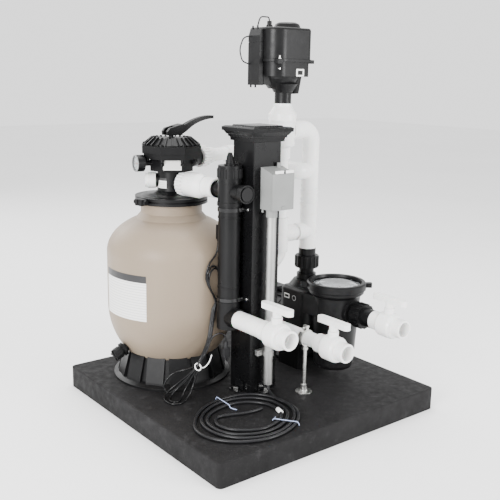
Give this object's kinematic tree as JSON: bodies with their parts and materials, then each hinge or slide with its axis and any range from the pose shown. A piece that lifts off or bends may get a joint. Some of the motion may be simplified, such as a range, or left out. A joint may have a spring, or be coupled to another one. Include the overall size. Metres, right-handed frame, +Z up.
{
  "type": "salt chlorine generator skid",
  "caption": "Pool equipment skid: sand filter with multiport valve, salt chlorine cell on a post with switch box, strainer pump, air blower and ball valves on a square pad.",
  "frame": {"origin": "centre of the pad's underside", "axes": "+X along the pad's front edge, -Y towards the three valve outlets, +Z up"},
  "size_m": [0.9144, 0.9312, 1.3041],
  "materials": {
    "pad_plastic": "matte",
    "tank_shell": "satin",
    "black_plastic": "satin",
    "black_matte": "matte",
    "post_vinyl": "satin",
    "white_pvc": "gloss",
    "box_grey": "satin",
    "conduit_steel": "galvanised",
    "zinc_steel": "zinc plated",
    "clear_lid": "clear",
    "basket_plastic": "matte",
    "cell_plates": "coated",
    "black_steel": "satin",
    "needle_red": "satin",
    "rotor_steel": "machined",
    "switch_black": "gloss",
    "cable_rubber": "satin"
  },
  "bodies": {
    "skid": {"base_pad": "pad_plastic", "filter_tank": "tank_shell", "filter_base": "black_matte", "filter_standpipe": "white_pvc", "tank_clamp_ring": "black_plastic", "multiport_body": "black_plastic", "multiport_cover": "black_plastic", "port_nuts": "white_pvc", "pressure_gauge": "black_plastic", "return_coupling": "white_pvc", "tank_drain": "black_matte", "post": "post_vinyl", "post_cap": "post_vinyl", "post_feet": "black_steel", "cell_tube": "black_plastic", "cell_top_tee": "black_plastic", "cell_bottom_tee": "black_plastic", "pipe_straps": "black_steel", "switch_box": "box_grey", "conduit": "conduit_steel", "valve_1_body": "white_pvc", "valve_2_body": "white_pvc", "valve_3_body": "white_pvc", "valve_1_inlet": "white_pvc", "air_supply_pipe": "white_pvc", "lower_tee": "white_pvc", "check_valve": "white_pvc", "riser_top": "white_pvc", "filter_feed_pipe": "white_pvc", "air_tee": "white_pvc", "pipe_support": "zinc_steel", "pump_housing": "black_matte", "pump_basket": "basket_plastic", "pump_motor": "black_plastic", "pump_base": "black_matte", "pump_unions": "black_plastic", "blower_housing": "black_matte", "blower_cover": "black_matte", "junction_box": "black_matte", "blower_leads": "cable_rubber", "power_cable": "cable_rubber", "power_coil": "cable_rubber", "signal_cord": "cable_rubber", "signal_hank": "cable_rubber", "signal_plug": "cable_rubber"},
    "selector": {"multiport_diverter": "black_plastic"},
    "selector_handle": {"multiport_handle": "black_plastic"},
    "needle": {"gauge_needle": "needle_red"},
    "cell_unit": {"cell_head": "black_plastic", "cell_electrodes": "cell_plates"},
    "cell_ring": {"cell_lock_ring": "black_plastic"},
    "box_cover": {"switch_cover": "box_grey"},
    "rocker": {"switch_rocker": "switch_black"},
    "valve_1_turning": {"valve_1_key": "white_pvc"},
    "valve_2_turning": {"valve_2_key": "white_pvc"},
    "valve_3_turning": {"valve_3_key": "white_pvc"},
    "strainer_lid": {"pump_lid": "clear_lid"},
    "strainer_ring": {"pump_lid_ring": "black_matte"},
    "pump_rotating": {"pump_rotor": "rotor_steel"},
    "blower_rotating": {"blower_fan": "rotor_steel"}
  },
  "joints": [
    {"name": "selector_turn", "type": "hinge", "parent": "skid", "child": "selector", "pos_m": [-0.18, 0.211, 0.86], "axis": [0, 0, 1], "continuous": true},
    {"name": "handle_press", "type": "hinge", "parent": "selector", "child": "selector_handle", "pos_m": [-0.18, 0.211, 0.925], "axis": [0, 1, 0], "range_deg": [0, 12], "stiffness_Nm_per_rad": 5, "springref_deg": -11.46},
    {"name": "gauge_swing", "type": "hinge", "parent": "skid", "child": "needle", "pos_m": [-0.30319, 0.22831, 0.823], "axis": [-0.9903, 0.1392, 0], "range_deg": [0, 270], "stiffness_Nm_per_rad": 0.002, "springref_deg": -11.46},
    {"name": "cell_lift", "type": "slide", "parent": "skid", "child": "cell_unit", "axis": [0, 0, 1], "range_m": [0, 0.07]},
    {"name": "cell_ring_turn", "type": "hinge", "parent": "cell_unit", "child": "cell_ring", "pos_m": [-0.134, -0.059, 0.8], "axis": [0, 0, 1], "range_deg": [0, 180]},
    {"name": "cover_lift", "type": "hinge", "parent": "skid", "child": "box_cover", "pos_m": [-0.021, -0.1865, 0.813], "axis": [-1, 0, 0], "range_deg": [0, 100]},
    {"name": "rocker_tilt", "type": "hinge", "parent": "skid", "child": "rocker", "pos_m": [-0.021, -0.155, 0.765], "axis": [1, 0, 0], "range_deg": [-12, 12]},
    {"name": "lid_lift", "type": "slide", "parent": "skid", "child": "strainer_lid", "axis": [0, 0, 1], "range_m": [0, 0.12]},
    {"name": "lid_ring_turn", "type": "hinge", "parent": "strainer_lid", "child": "strainer_ring", "pos_m": [0.262, -0.159, 0.4], "axis": [0, 0, 1], "range_deg": [0, 45]},
    {"name": "pump_spin", "type": "hinge", "parent": "skid", "child": "pump_rotating", "pos_m": [0.262, 0, 0.24], "axis": [0, 1, 0], "continuous": true},
    {"name": "blower_spin", "type": "hinge", "parent": "skid", "child": "blower_rotating", "pos_m": [0.121, 0.015, 1.13], "axis": [0, 0, 1], "continuous": true},
    {"name": "valve_1_turn", "type": "hinge", "parent": "skid", "child": "valve_1_turning", "pos_m": [-0.134, -0.306, 0.34], "axis": [0, 0, 1], "range_deg": [0, 90]},
    {"name": "valve_2_turn", "type": "hinge", "parent": "skid", "child": "valve_2_turning", "pos_m": [0.0696, -0.346, 0.268], "axis": [0, 0, 1], "range_deg": [0, 90]},
    {"name": "valve_3_turn", "type": "hinge", "parent": "skid", "child": "valve_3_turning", "pos_m": [0.262, -0.406, 0.326], "axis": [0, 0, 1], "range_deg": [0, 90]}
  ]
}
